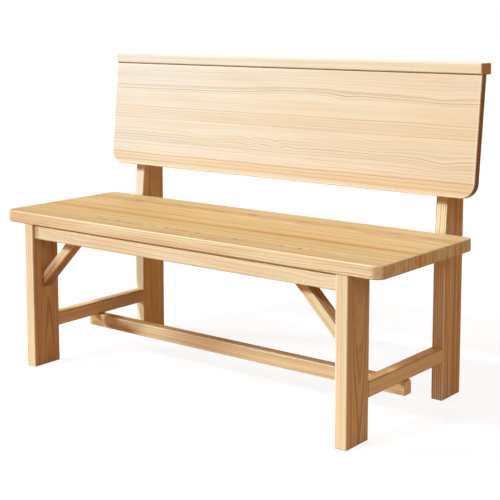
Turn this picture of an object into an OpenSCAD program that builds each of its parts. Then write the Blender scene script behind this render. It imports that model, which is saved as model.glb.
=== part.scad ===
// Pine bench with a plank seat, board legs and a leaning back panel.
// The floor is Z = 0, the front looks along -Y, and X = 0 is the middle of its length.

/* [Seat] */
// Length of the seat board, and of the back panel and its cap rail
seat_l = 1200; // [1000:10:1600]
// Depth of the seat board from front to back
seat_d = 420; // [390:1:460]
// Thickness of the seat board
seat_t = 31; // [28:1:40]
// Height of the seat board's underside above the floor
seat_z = 391; // [370:1:440]
// Radius of the seat's two front corners, seen from above
seat_front_r = 26; // [10:1:30]
// Radius of the seat's two rear corners, seen from above
seat_rear_r = 20; // [10:1:30]
// How far the seat's front edge lies behind the fronts of the legs
seat_setback = 3; // [1:1:7]
// Gap between the seat's rear edge and the rear posts
seat_post_gap = 7; // [2:1:15]
// Width of the seat's front stave
seat_stave_1_w = 67; // [62:1:75]
// Width of the seat's second stave
seat_stave_2_w = 80; // [70:1:88]
// Width of the seat's third stave
seat_stave_3_w = 83; // [74:1:90]
// Width of the seat's fourth stave; the fifth takes what is left
seat_stave_4_w = 87; // [76:1:94]

/* [Legs and posts] */
// Distance from the seat's ends in to the outer faces of the legs
leg_inset = 80; // [40:1:120]
// Thickness of the legs and posts, along the bench
leg_t = 32; // [28:1:40]
// Width of the front legs, front to back
leg_w = 90; // [80:1:110]
// Width of the rear posts below the seat, front to back
post_w = 90; // [80:1:110]
// Radius of the rounded rear corner at the top of each post
post_top_r = 18; // [5:1:22]
// Radius of the eased long edges of every board
arris_r = 3; // [1:0.5:4]

/* [Aprons] */
// Height of the front apron under the seat
apron_h = 38; // [34:1:60]
// Height of the side aprons and the rear apron, which hide under the seat
side_apron_h = 27; // [24:1:40]
// Thickness of the aprons
apron_t = 22; // [18:1:26]
// How far the aprons stand back from the faces of the legs
apron_setback = 8; // [7:1:10]

/* [Stretchers] */
// Height of the side stretchers' undersides above the floor
side_stretcher_z = 98; // [80:1:130]
// Height of the side stretchers' section
side_stretcher_h = 37; // [34:1:60]
// Thickness of the side stretchers
side_stretcher_t = 30; // [26:1:32]
// Height of the long stretcher's section
long_stretcher_h = 35; // [28:1:42]
// Thickness of the long stretcher, front to back
long_stretcher_t = 31; // [28:1:40]
// Distance from the fronts of the legs back to the long stretcher
long_stretcher_y = 240; // [180:1:300]
// How far the long stretcher reaches past the side stretchers
long_stretcher_over = 3; // [0:1:20]
// Radius of the rounded upper corners at the long stretcher's ends
long_stretcher_end_r = 9; // [4:1:14]

/* [Knee braces] */
// Height at which a knee brace's lower edge meets its leg
brace_z = 216; // [180:1:250]
// Width of a knee brace across its slope
brace_w = 26; // [22:1:34]
// Thickness of a knee brace, front to back
brace_t = 35; // [28:1:40]
// Slope of the knee braces above the horizontal, in degrees
brace_angle = 45; // [40:1:50]

/* [Back] */
// Lean of the back panel from the vertical, in degrees
back_tilt = 5.85; // [3:0.05:8]
// Thickness of the back panel
back_t = 23.5; // [21:0.5:26]
// Height of the back panel's lower edge above the floor
back_z = 511; // [480:1:540]
// Height of the back panel, from its lower edge up to the cap rail
back_h = 297; // [275:1:330]
// Radius of the back panel's two lower corners
back_corner_r = 38; // [15:1:42]
// Height of the back panel's lowest stave
back_stave_1_h = 48; // [44:1:60]
// Height of the back panel's second stave
back_stave_2_h = 85; // [60:1:90]
// Height of the back panel's third stave; the fourth takes what is left
back_stave_3_h = 78; // [60:1:90]
// Depth of the cap rail, front to back
cap_d = 50; // [46:1:60]
// Height of the cap rail
cap_h = 28; // [24:1:36]
// How far the cap rail stands out in front of the back panel
cap_over = 3; // [1:1:4]
// Height of the shadow groove under the cap rail's front
groove_h = 2; // [1:0.5:4]
// Depth of the shadow groove, front to back
groove_d = 6; // [4:0.5:8]

/* [Joints] */
// Thickness of the aprons' tenons
apron_tenon_t = 12; // [8:1:14]
// Thickness of the side stretchers' tenons
stretcher_tenon_t = 15; // [10:1:18]
// Width of the shoulder above and below every tenon
tenon_shoulder = 5; // [4:1:7]
// Length of the front apron's tenons
front_tenon_l = 20; // [15:1:24]
// Length of the side aprons' and side stretchers' tenons
side_tenon_l = 25; // [20:1:40]
// Length of the rear apron's stub tenons
rear_tenon_l = 10; // [6:1:14]
// Clearance round each tenon in its mortise
tenon_fit = 0.15; // [0.05:0.05:0.4]
// Room left beyond the end of each tenon, screw and dowel
end_room = 1; // [0.5:0.5:2]
// Diameter of the wooden dowels
dowel_dia = 8; // [6:1:9]
// Clearance round each dowel
dowel_fit = 0.05; // [0.02:0.01:0.2]

/* [Fasteners] */
// Diameter of the frame screws, which hold the seat and the long stretcher
screw_dia = 5; // [4:0.5:6]
// Length of the frame screws under the head
screw_l = 45; // [42:1:50]
// Diameter of the frame screws' heads
screw_head_dia = 9; // [8:0.5:10]
// Height of the frame screws' heads
screw_head_h = 3; // [2:0.5:4]
// Depth of the counterbores for the frame screws in the long stretcher
screw_sink = 10; // [8:1:12]
// Depth of the counterbores for the frame screws in the side aprons
seat_screw_sink = 4; // [3:0.5:8]
// Distance of the outer seat screws from the middle of the bench
seat_screw_x = 250; // [200:10:300]
// Diameter of the screws that hold the knee braces to the front apron
brace_screw_dia = 4; // [3.5:0.5:5]
// Length of the knee brace screws, head included
brace_screw_l = 48; // [42:1:50]
// Diameter of the knee brace screws' countersunk heads
brace_screw_head_dia = 8; // [7:0.5:9]
// Distance between the two screws of a knee brace, along its slope
brace_screw_pitch = 20; // [14:1:22]
// Distance between the screw and the dowel under each side stretcher
long_joint_pitch = 15; // [12:1:16]
// Diameter of the back panel's bolts
bolt_dia = 6; // [5:1:8]
// Wood left under a bolt's washer, measured from the panel
bolt_grip = 35; // [28:1:38]
// Diameter of the bolts' heads
bolt_head_dia = 10; // [9:1:13]
// Height of the bolts' heads
bolt_head_h = 6; // [4:1:8]
// Diameter of the washers under the bolts' heads
washer_dia = 12; // [11:1:14]
// Thickness of the washers
washer_t = 1.5; // [1:0.5:2]
// Outer diameter of the insert nuts in the back panel
insert_dia = 10; // [9:1:12]
// Length of the insert nuts
insert_l = 15; // [12:1:17]
// Clearance round screws and insert nuts in their holes
screw_fit = 0.1; // [0.05:0.05:0.3]
// Clearance round the bolts in the posts
bolt_room = 0.5; // [0.25:0.25:1]
// Clearance round screw heads and washers in their counterbores
head_room = 1; // [0.5:0.5:1.5]

/* [Dowels] */
// How far each cap rail dowel enters the cap rail
cap_dowel_up = 13; // [10:1:18]
// How far each cap rail dowel enters the panel or post below
cap_dowel_down = 16; // [12:1:24]
// Distance between the dowels along the cap rail
cap_dowel_pitch = 240; // [150:5:240]
// How far each knee brace dowel enters the leg
brace_dowel_leg = 14; // [10:1:20]
// How far each knee brace dowel enters the brace
brace_dowel_brace = 16; // [10:1:16]
// Height of a knee brace dowel above the brace's lower edge
brace_dowel_rise = 26; // [24:1:28]
// How far each long stretcher dowel enters the pieces above and below it
long_dowel_half = 14; // [10:1:20]

/* [Hidden] */
$fn = 48;

// Overrun of cutting shapes past the faces they cut
cut = 1;
// Depth and width of the driver recesses in the screw heads
recess_h = 1.5;
recess_w = 1.2;
// Width across the corners of the hexagon socket in a bolt head
socket_dia = 5.8;

// Front to back, measured from the fronts of the legs
seat_y0 = seat_setback;
seat_y1 = seat_y0 + seat_d;
post_y0 = seat_y1 + seat_post_gap;
bench_d = post_y0 + post_w;
// Along the bench
leg_x = seat_l / 2 - leg_inset;
leg_in_x = leg_x - leg_t;
side_apron_x = leg_x - apron_setback - apron_t;
side_stretcher_x = leg_x - side_stretcher_t;
long_stretcher_l = 2 * (leg_x + long_stretcher_over);
// Heights
seat_top = seat_z + seat_t;
apron_z = seat_z - apron_h;
side_apron_z = seat_z - side_apron_h;
long_stretcher_z = side_stretcher_z - long_stretcher_h;
cap_z = back_z + back_h;
tenon_h = apron_h - 2 * tenon_shoulder;
side_tenon_h = side_apron_h - 2 * tenon_shoulder;
stretcher_tenon_h = side_stretcher_h - 2 * tenon_shoulder;
// The rear apron stands back from the seat's rear edge
rear_apron_y = seat_y1 - apron_setback - apron_t;
brace_y = apron_setback + apron_t;

// Seat staves: front edges of the five, and the rear edge of the last
stave_y = [
    seat_y0,
    seat_y0 + seat_stave_1_w,
    seat_y0 + seat_stave_1_w + seat_stave_2_w,
    seat_y0 + seat_stave_1_w + seat_stave_2_w + seat_stave_3_w,
    seat_y0 + seat_stave_1_w + seat_stave_2_w + seat_stave_3_w + seat_stave_4_w,
    seat_y1
];

// The back, measured up the sloping face of the posts from the seat's top
back_u0 = (back_z - seat_top) / cos(back_tilt);
back_u1 = (cap_z - seat_top) / cos(back_tilt);
back_stave_u = [
    back_u0,
    back_u0 + back_stave_1_h,
    back_u0 + back_stave_1_h + back_stave_2_h,
    back_u0 + back_stave_1_h + back_stave_2_h + back_stave_3_h,
    back_u1
];
// The panel's rear and front faces at the height of the cap rail's underside
panel_rear_y = post_y0 + (cap_z - seat_top) * tan(back_tilt);
panel_front_y = panel_rear_y - back_t / cos(back_tilt);
cap_y0 = panel_front_y - cap_over;
cap_y1 = cap_y0 + cap_d;

// Fastener places
screw_z = side_apron_z + seat_screw_sink;
// The counterbores in the front apron are the deepest, so that all the seat screws lie level
seat_bore_l = screw_z - min(apron_z, side_apron_z);
side_apron_mid_x = side_apron_x + apron_t / 2;
seat_screw_sites = concat(
    [for (x = [-seat_screw_x, 0, seat_screw_x]) [x, apron_setback + apron_t / 2]],
    [for (x = [-seat_screw_x, 0, seat_screw_x]) [x, rear_apron_y + apron_t / 2]],
    [for (side = [-1, 1], i = [1:3]) [side * side_apron_mid_x, (stave_y[i] + stave_y[i + 1]) / 2]]
);
long_mid_y = long_stretcher_y + long_stretcher_t / 2;
long_joint_x = leg_x - side_stretcher_t / 2;
// Bolts sit at mid height in the first, third and fourth staves of the back
bolt_u = [for (i = [0, 2, 3]) (back_stave_u[i] + back_stave_u[i + 1]) / 2];
bolt_x = leg_x - leg_t / 2;
cap_dowel_y = (panel_front_y + panel_rear_y) / 2;
post_dowel_y = (panel_rear_y + cap_y1) / 2;
cap_dowel_sites = concat(
    [for (i = [-2:2]) [i * cap_dowel_pitch, cap_dowel_y]],
    [for (side = [-1, 1]) [side * bolt_x, post_dowel_y]]
);
brace_dowel_z = brace_z + brace_dowel_rise;
brace_mid_y = brace_y + brace_t / 2;
// Middle of the stretch of the right-hand brace that lies behind the apron
brace_fix_z = apron_z + apron_h / 2;
brace_fix_x = leg_in_x
    - (brace_fix_z - brace_z - brace_w / cos(brace_angle) / 2) / tan(brace_angle);
// The countersinks and the heads that fill them have an angle of 90 degrees
brace_screw_head_h = (brace_screw_head_dia - brace_screw_dia) / 2;

pine = [0.90, 0.78, 0.58];
pine_light = [0.94, 0.85, 0.68];
pine_warm = [0.86, 0.70, 0.48];
beech = [0.80, 0.62, 0.42];
steel = [0.66, 0.66, 0.68];
zinc = [0.74, 0.70, 0.58];

// Everything is drawn from the fronts of the legs, then centred front to back
module placed() {
    translate([0, -bench_d / 2, 0]) children();
}

// Right-hand pieces are drawn as they are, left-hand pieces are their mirror images
module on_side(side) {
    if (side > 0) children();
    else mirror([1, 0, 0]) children();
}

// Section of a board with eased edges, its corner at the origin
module eased_section(w, h, r = arris_r) {
    translate([r, 0]) square([w - 2 * r, h]);
    translate([0, r]) square([w, h - 2 * r]);
    for (x = [r, w - r], y = [r, h - r]) translate([x, y]) circle(r);
}

// Board along X, centred on X = 0: w from front to back, h upwards
module board_x(l, w, h) {
    rotate([90, 0, 90]) translate([0, 0, -l / 2]) linear_extrude(l) eased_section(w, h);
}

// Board along Y from Y = 0: w along X, h upwards
module board_y(l, w, h) {
    translate([0, l, 0]) rotate([90, 0, 0]) linear_extrude(l) eased_section(w, h);
}

// Board standing on Z = 0: w along X, h from front to back
module board_z(l, w, h) {
    linear_extrude(l) eased_section(w, h);
}

// Limits a standing board to a foot whose edges are eased below, w along X and d front to back
module eased_foot(w, d) {
    intersection() {
        translate([0, d, 0]) rotate([90, 0, 0]) linear_extrude(d) eased_section(w, 2 * cap_z);
        rotate([90, 0, 90]) linear_extrude(w) eased_section(d, 2 * cap_z);
    }
}

// Rectangular tenon, or its mortise when grown by a clearance
module tenon(at, size, grow = 0) {
    translate(at - [grow, grow, grow]) cube(size + 2 * [grow, grow, grow]);
}

// Tenon of the front apron in the right-hand leg
module front_apron_tenon(grow = 0, deeper = 0) {
    tenon([leg_in_x - cut, apron_setback + (apron_t - apron_tenon_t) / 2, apron_z + tenon_shoulder],
          [front_tenon_l + cut + deeper, apron_tenon_t, tenon_h], grow);
}

// Tenons of a right-hand side apron, at its leg and at its post
module side_apron_tenons(grow = 0, deeper = 0) {
    for (y = [leg_w - side_tenon_l - deeper, post_y0 - cut])
        tenon([side_apron_x + (apron_t - apron_tenon_t) / 2, y, side_apron_z + tenon_shoulder],
              [apron_tenon_t, side_tenon_l + cut + deeper, side_tenon_h], grow);
}

// Tenons of a right-hand side stretcher, at its leg and at its post
module side_stretcher_tenons(grow = 0, deeper = 0) {
    for (y = [leg_w - side_tenon_l - deeper, post_y0 - cut])
        tenon([side_stretcher_x + (side_stretcher_t - stretcher_tenon_t) / 2, y,
               side_stretcher_z + tenon_shoulder],
              [stretcher_tenon_t, side_tenon_l + cut + deeper, stretcher_tenon_h], grow);
}

// Tenon of the rear apron in the right-hand side apron
module rear_apron_tenon(grow = 0, deeper = 0) {
    tenon([side_apron_x - cut, rear_apron_y + (apron_t - apron_tenon_t) / 2,
           side_apron_z + tenon_shoulder],
          [rear_tenon_l + cut + deeper, apron_tenon_t, side_tenon_h], grow);
}

// Pan-head wood screw pointing up, its head's seat at Z = 0
module frame_screw() {
    difference() {
        union() {
            cylinder(d = screw_dia, h = screw_l);
            translate([0, 0, -screw_head_h]) cylinder(d = screw_head_dia, h = screw_head_h);
        }
        for (turn = [0, 90]) rotate([0, 0, turn])
            translate([-screw_head_dia / 4, -recess_w / 2, -screw_head_h - cut])
                cube([screw_head_dia / 2, recess_w, recess_h + cut]);
    }
}

// Hole for a frame screw, with its counterbore of the given depth opening downwards
module frame_screw_hole(sink) {
    cylinder(d = screw_dia + 2 * screw_fit, h = screw_l + end_room);
    translate([0, 0, -sink - cut]) cylinder(d = screw_head_dia + 2 * head_room, h = sink + cut);
}

// Places the screws that come up through the aprons into the seat
module at_seat_screws() {
    for (site = seat_screw_sites) translate([site[0], site[1], screw_z]) children();
}

// Places the two screws that come up through the long stretcher's ends
module at_stretcher_screws() {
    y = long_mid_y - long_joint_pitch / 2;
    for (side = [-1, 1]) translate([side * long_joint_x, y, long_stretcher_z + screw_sink]) children();
}

// Plain dowel along Z; the hole for it is wider and longer
module dowel(l, grow = 0, longer = 0) {
    translate([0, 0, -longer]) cylinder(d = dowel_dia + 2 * grow, h = l + 2 * longer);
}

module stretcher_dowel_set(grow = 0, longer = 0) {
    y = long_mid_y + long_joint_pitch / 2;
    for (side = [-1, 1]) translate([side * long_joint_x, y, side_stretcher_z - long_dowel_half])
        dowel(2 * long_dowel_half, grow, longer);
}

module cap_dowel_set(grow = 0, longer = 0) {
    for (site = cap_dowel_sites)
        translate([site[0], site[1], cap_z - cap_dowel_down])
            dowel(cap_dowel_down + cap_dowel_up, grow, longer);
}

module brace_dowel_set(grow = 0, longer = 0) {
    for (side = [-1, 1]) on_side(side)
        translate([leg_in_x - brace_dowel_brace, brace_mid_y, brace_dowel_z])
            rotate([0, 90, 0]) dowel(brace_dowel_brace + brace_dowel_leg, grow, longer);
}

// Places each of a brace's two screws, pointing forwards from the brace's rear face
module at_brace_screws() {
    for (side = [-1, 1]) on_side(side)
        for (end = [-1, 1])
            translate([brace_fix_x - end * cos(brace_angle) * brace_screw_pitch / 2, brace_y + brace_t,
                       brace_fix_z + end * sin(brace_angle) * brace_screw_pitch / 2])
                rotate([90, 0, 0]) children();
}

// Countersunk screw along Z, its flat head at Z = 0
module brace_screw() {
    difference() {
        union() {
            cylinder(d1 = brace_screw_head_dia, d2 = brace_screw_dia, h = brace_screw_head_h);
            cylinder(d = brace_screw_dia, h = brace_screw_l);
        }
        for (turn = [0, 90]) rotate([0, 0, turn])
            translate([-brace_screw_dia / 2, -recess_w / 2, -cut])
                cube([brace_screw_dia, recess_w, recess_h + cut]);
    }
}

module brace_screw_hole() {
    cylinder(d1 = brace_screw_head_dia, d2 = brace_screw_dia, h = brace_screw_head_h);
    translate([0, 0, -cut]) cylinder(d = brace_screw_head_dia, h = cut);
    cylinder(d = brace_screw_dia + 2 * screw_fit, h = brace_screw_l + end_room);
}

// The back's own frame: Z runs up the slope of the posts, Y points square out of their rear
module on_slope() {
    translate([0, post_y0, seat_top]) rotate([-back_tilt, 0, 0]) children();
}

// Places each bolt on the slope, pointing forwards from the panel's rear face
module at_bolts() {
    on_slope() for (side = [-1, 1], u = bolt_u)
        translate([side * bolt_x, 0, u]) rotate([90, 0, 0]) children();
}

// Hole through a post for one bolt, with a deep counterbore at the rear
module bolt_hole() {
    translate([0, 0, -bolt_grip - cut]) cylinder(d = bolt_dia + 2 * bolt_room, h = bolt_grip + 2 * cut);
    translate([0, 0, -bolt_grip - post_w]) cylinder(d = washer_dia + 2 * head_room, h = post_w);
}

module insert_hole() {
    translate([0, 0, -cut]) cylinder(d = insert_dia + 2 * screw_fit, h = insert_l + end_room + cut);
}

module front_leg() {
    color(pine_light) difference() {
        translate([leg_in_x, 0, 0]) intersection() {
            board_z(seat_z, leg_t, leg_w);
            eased_foot(leg_t, leg_w);
        }
        front_apron_tenon(tenon_fit, end_room);
        side_apron_tenons(tenon_fit, end_room);
        side_stretcher_tenons(tenon_fit, end_room);
        brace_dowel_set(dowel_fit, end_room);
    }
}

// Side view of a post's foot and its rounded top, with Y = 0 at its front
module post_outline() {
    translate([post_w - post_top_r, cap_z - post_top_r]) circle(post_top_r);
    difference() {
        square([post_w, cap_z]);
        translate([post_w - post_top_r, cap_z - post_top_r]) square(post_top_r + cut);
    }
}

module rear_post() {
    color(pine_light) difference() {
        intersection() {
            translate([leg_in_x, post_y0, 0]) board_z(cap_z, leg_t, post_w);
            // The front above the seat leans back with the panel
            on_slope() translate([leg_in_x, 0, -cap_z]) board_z(2 * cap_z, leg_t, 2 * post_w);
            translate([leg_in_x, post_y0, 0]) rotate([90, 0, 90]) linear_extrude(leg_t) post_outline();
            translate([leg_in_x, post_y0, 0]) eased_foot(leg_t, post_w);
        }
        side_apron_tenons(tenon_fit, end_room);
        side_stretcher_tenons(tenon_fit, end_room);
        at_bolts() bolt_hole();
        cap_dowel_set(dowel_fit, end_room);
    }
}

module front_apron() {
    color(pine_light) difference() {
        union() {
            translate([0, apron_setback, apron_z]) board_x(2 * leg_in_x, apron_t, apron_h);
            for (side = [-1, 1]) on_side(side) front_apron_tenon();
        }
        at_seat_screws() frame_screw_hole(seat_bore_l);
        at_brace_screws() brace_screw_hole();
    }
}

module rear_apron() {
    color(pine) difference() {
        union() {
            translate([0, rear_apron_y, side_apron_z])
                board_x(2 * side_apron_x, apron_t, side_apron_h);
            for (side = [-1, 1]) on_side(side) rear_apron_tenon();
        }
        at_seat_screws() frame_screw_hole(seat_bore_l);
    }
}

module side_apron() {
    color(pine) difference() {
        union() {
            translate([side_apron_x, leg_w, side_apron_z])
                board_y(post_y0 - leg_w, apron_t, side_apron_h);
            side_apron_tenons();
        }
        rear_apron_tenon(tenon_fit, end_room);
        at_seat_screws() frame_screw_hole(seat_bore_l);
    }
}

module side_stretcher() {
    color(pine) difference() {
        union() {
            translate([side_stretcher_x, leg_w, side_stretcher_z])
                board_y(post_y0 - leg_w, side_stretcher_t, side_stretcher_h);
            side_stretcher_tenons();
        }
        at_stretcher_screws() frame_screw_hole(screw_sink);
        stretcher_dowel_set(dowel_fit, end_room);
    }
}

module long_stretcher() {
    color(pine_light) difference() {
        translate([0, long_stretcher_y, long_stretcher_z]) intersection() {
            board_x(long_stretcher_l, long_stretcher_t, long_stretcher_h);
            translate([-long_stretcher_l / 2, long_stretcher_t, -long_stretcher_h])
                rotate([90, 0, 0]) linear_extrude(long_stretcher_t)
                    eased_section(long_stretcher_l, 2 * long_stretcher_h, long_stretcher_end_r);
        }
        at_stretcher_screws() frame_screw_hole(screw_sink);
        stretcher_dowel_set(dowel_fit, end_room);
    }
}

// Sloping bar from the leg up behind the apron, cut off at the leg and under the seat
module knee_brace() {
    reach = seat_z / sin(brace_angle);
    color(pine) difference() {
        intersection() {
            mirror([1, 0, 0]) translate([-leg_in_x, brace_y, brace_z]) rotate([0, -brace_angle, 0])
                board_x(2 * reach, brace_t, brace_w);
            translate([0, brace_y - cut, 0]) cube([leg_in_x, brace_t + 2 * cut, seat_z]);
        }
        brace_dowel_set(dowel_fit, end_room);
        at_brace_screws() brace_screw_hole();
    }
}

// Quarter section of a rounded board corner: r seen from above, t thick, eased top and bottom
module corner_disc(r, t) {
    rotate_extrude() intersection() {
        translate([-r, 0]) eased_section(2 * r, t);
        square([r, t]);
    }
}

// Outer seat stave with two rounded corners of radius r; its outer edge is at Y = 0
module outer_stave(w, r) {
    rotate([90, 0, 90]) translate([0, 0, r - seat_l / 2]) linear_extrude(seat_l - 2 * r)
        intersection() {
            eased_section(2 * w, seat_t);
            square([w, seat_t]);
        }
    translate([-seat_l / 2, r, 0]) board_y(w - r, seat_l, seat_t);
    for (x = [r - seat_l / 2, seat_l / 2 - r]) translate([x, r, 0]) corner_disc(r, seat_t);
}

module seat_stave(i) {
    w = stave_y[i] - stave_y[i - 1];
    color(i % 2 == 0 ? pine_warm : pine) difference() {
        translate([0, 0, seat_z]) {
            if (i == 1) translate([0, seat_y0, 0]) outer_stave(w, seat_front_r);
            else if (i == 5) translate([0, seat_y1, 0]) mirror([0, 1, 0]) outer_stave(w, seat_rear_r);
            else translate([-seat_l / 2, stave_y[i - 1], 0]) board_y(w, seat_l, seat_t);
        }
        at_seat_screws() frame_screw_hole(seat_bore_l);
    }
}

// How far up the slope a circle of arris_r, y in front of the posts, touches the cap rail's level
function top_u(y) = (cap_z - arris_r - seat_top - y * sin(back_tilt)) / cos(back_tilt);

// Section of the panel above u0: its top is cut level under the cap rail, with both edges eased
module back_top_section(u0) {
    up = arris_r * [-sin(back_tilt), cos(back_tilt)];
    front = [arris_r - back_t, top_u(back_t - arris_r)];
    rear = [-arris_r, top_u(arris_r)];
    polygon([[0, u0], [0, rear[1]], rear + up, front + up, [-back_t, front[1]], [-back_t, u0]]);
    translate(front) circle(arris_r);
    translate(rear) circle(arris_r);
}

// One stave of the back panel, drawn in the back's own frame
module back_stave_body(i) {
    u0 = back_stave_u[i - 1];
    u1 = back_stave_u[i];
    if (i == 1) {
        translate([0, -back_t, u0]) rotate([90, 0, 90])
            translate([0, 0, back_corner_r - seat_l / 2]) linear_extrude(seat_l - 2 * back_corner_r)
                intersection() {
                    eased_section(back_t, 2 * back_stave_1_h);
                    square([back_t, back_stave_1_h]);
                }
        translate([-seat_l / 2, -back_t, u0 + back_corner_r])
            board_z(back_stave_1_h - back_corner_r, seat_l, back_t);
        for (x = [back_corner_r - seat_l / 2, seat_l / 2 - back_corner_r])
            intersection() {
                translate([x, 0, u0 + back_corner_r]) rotate([90, 0, 0]) corner_disc(back_corner_r, back_t);
                translate([-seat_l, -back_t - cut, u0 - cut])
                    cube([2 * seat_l, back_t + 2 * cut, back_stave_1_h + cut]);
            }
    }
    else if (i == 4) intersection() {
        translate([-seat_l / 2, -back_t, u0]) board_z(back_u1 - u0, seat_l, back_t);
        rotate([90, 0, 90]) translate([0, 0, -seat_l / 2 - cut]) linear_extrude(seat_l + 2 * cut)
            back_top_section(u0 - cut);
    }
    else translate([-seat_l / 2, -back_t, u0]) board_z(u1 - u0, seat_l, back_t);
}

module back_stave(i) {
    color(i % 2 == 0 ? pine_light : pine) difference() {
        on_slope() back_stave_body(i);
        at_bolts() insert_hole();
        if (i == 4) cap_dowel_set(dowel_fit, end_room);
    }
}

// Section of the cap rail, its front lower edge raised by the shadow groove
module cap_section() {
    translate([0, groove_h]) eased_section(cap_d, cap_h - groove_h);
    intersection() {
        eased_section(cap_d, cap_h);
        translate([groove_d, 0]) square([cap_d, cap_h]);
    }
}

module cap_rail() {
    color(pine_light) difference() {
        translate([-seat_l / 2, cap_y0, cap_z]) intersection() {
            rotate([90, 0, 90]) linear_extrude(seat_l) cap_section();
            translate([0, cap_d, 0]) rotate([90, 0, 0]) linear_extrude(cap_d) eased_section(seat_l, cap_h);
            linear_extrude(cap_h) eased_section(seat_l, cap_d);
        }
        cap_dowel_set(dowel_fit, end_room);
    }
}

module seat_screws() {
    color(steel) at_seat_screws() frame_screw();
}

module stretcher_screws() {
    color(steel) at_stretcher_screws() frame_screw();
}

module brace_screws() {
    color(steel) at_brace_screws() brace_screw();
}

// Socket-head bolts: the washer's face lies bolt_grip behind the panel
module back_bolts() {
    color(steel) at_bolts() translate([0, 0, -bolt_grip - washer_t]) difference() {
        union() {
            cylinder(d = bolt_dia, h = bolt_grip + washer_t + insert_l);
            translate([0, 0, -bolt_head_h]) cylinder(d = bolt_head_dia, h = bolt_head_h);
        }
        translate([0, 0, -bolt_head_h - cut]) cylinder(d = socket_dia, h = bolt_head_h / 2 + cut, $fn = 6);
    }
}

module back_washers() {
    color(steel) at_bolts() translate([0, 0, -bolt_grip - washer_t]) difference() {
        cylinder(d = washer_dia, h = washer_t);
        translate([0, 0, -cut]) cylinder(d = bolt_dia + 2 * screw_fit, h = washer_t + 2 * cut);
    }
}

module insert_nuts() {
    color(zinc) at_bolts() difference() {
        cylinder(d = insert_dia, h = insert_l);
        translate([0, 0, -cut]) cylinder(d = bolt_dia + 2 * screw_fit, h = insert_l + 2 * cut);
    }
}

module cap_dowels() {
    color(beech) cap_dowel_set();
}

module brace_dowels() {
    color(beech) brace_dowel_set();
}

module stretcher_dowels() {
    color(beech) stretcher_dowel_set();
}

placed() on_side(-1) front_leg();  // front_leg_left
placed() on_side(1) front_leg();  // front_leg_right
placed() on_side(-1) rear_post();  // rear_post_left
placed() on_side(1) rear_post();  // rear_post_right
placed() front_apron();
placed() rear_apron();
placed() on_side(-1) side_apron();  // side_apron_left
placed() on_side(1) side_apron();  // side_apron_right
placed() on_side(-1) side_stretcher();  // side_stretcher_left
placed() on_side(1) side_stretcher();  // side_stretcher_right
placed() long_stretcher();
placed() on_side(-1) knee_brace();  // knee_brace_left
placed() on_side(1) knee_brace();  // knee_brace_right
for (i = [1:5]) placed() seat_stave(i);
for (i = [1:4]) placed() back_stave(i);
placed() cap_rail();
placed() seat_screws();
placed() stretcher_screws();
placed() brace_screws();
placed() back_bolts();
placed() back_washers();
placed() insert_nuts();
placed() cap_dowels();
placed() brace_dowels();
placed() stretcher_dowels();
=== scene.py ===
import math
import random

import bpy
from mathutils import Matrix, Vector


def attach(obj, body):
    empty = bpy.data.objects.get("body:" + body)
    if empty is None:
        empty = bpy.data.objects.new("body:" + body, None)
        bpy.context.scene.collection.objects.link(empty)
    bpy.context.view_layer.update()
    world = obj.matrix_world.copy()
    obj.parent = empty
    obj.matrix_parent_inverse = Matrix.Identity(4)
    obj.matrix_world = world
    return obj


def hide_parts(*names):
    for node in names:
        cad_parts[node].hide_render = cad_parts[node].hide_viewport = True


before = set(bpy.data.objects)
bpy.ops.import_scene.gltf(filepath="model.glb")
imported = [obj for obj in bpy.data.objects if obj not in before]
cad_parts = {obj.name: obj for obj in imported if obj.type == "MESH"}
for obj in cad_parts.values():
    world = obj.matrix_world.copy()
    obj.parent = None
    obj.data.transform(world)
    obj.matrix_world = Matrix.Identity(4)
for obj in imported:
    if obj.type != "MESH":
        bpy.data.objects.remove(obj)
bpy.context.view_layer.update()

# Front legs and rear posts: four square-edged pine boards that stand on the floor, 32 mm thick
# and 90 mm wide. The front legs stop under the seat; the posts run up past it to the cap rail
# and lean back behind the panel. Each is sawn from one plank, so its grain runs lengthwise.
MM = 0.001
LEG_X, LEG_Y = 0.504, 0.215
FRONT_Z, FRONT_HALF = 0.195, (196, 45, 16)
POST_Z, POST_HALF = 0.40, (408, 45, 16)
LEG = {"along": (0, 0, 1), "across": (0, 1, 0), "edge_light_shade": (1.4, 0.8, 0.7)}
STREAK = (0.64, 0.45, 0.31)
LEG_BLUSH = ((1.0, 0.90, 0.76), 0.2)
PIP = (0.54, 0.27, 0.14)
# Colour of the painted shade on eased edges that face away from the front
EDGE_SHADE = (0.42, 0.29, 0.18)

# Lengths in mm over which the wood changes: along a board, across it and through it
SWAY, WARMTH, DRIFT = (420, 75, 75), (240, 16, 16), (360, 30, 30)
FIBRE, FLECK, MOTTLE = (60, 1.2, 1.2), (9, 0.5, 0.5), (300, 9, 60)
# The same for what bends rings and lines, each with the breadth of its swing in mm
RIPPLE, BEND, WOBBLE = ((80, 18, 18), 2.6), ((300, 40, 40), 9.0), ((70, 30, 30), 2.4)
# Length, width and detail of the lines that follow the rings
FINE_LINES, BOLD_LINES = (420.0, 2.3, 2.0), (900.0, 6.5, 1.0)
# Years are narrow and wide by turns: over this radius in mm, and by this many years
SPELL, SPELL_YEARS = 33.0, 2.6
FAINTEST_YEAR = 0.30
# Steps from one board to the next through the noises, so that no two boards look alike
LOT, YEAR_LOT, LINE_LOT = (977.0, 331.0, 613.0), 7.3, 3.1
# An eased edge shows in full up to the first distance in mm, and no more past the second
EASED_FULL, EASED_NONE = 1.2, 3.2
ROUGH, GLOSS, BUMP, BUMP_DEPTH = 0.60, 0.18, 0.35, 0.0004


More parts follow.
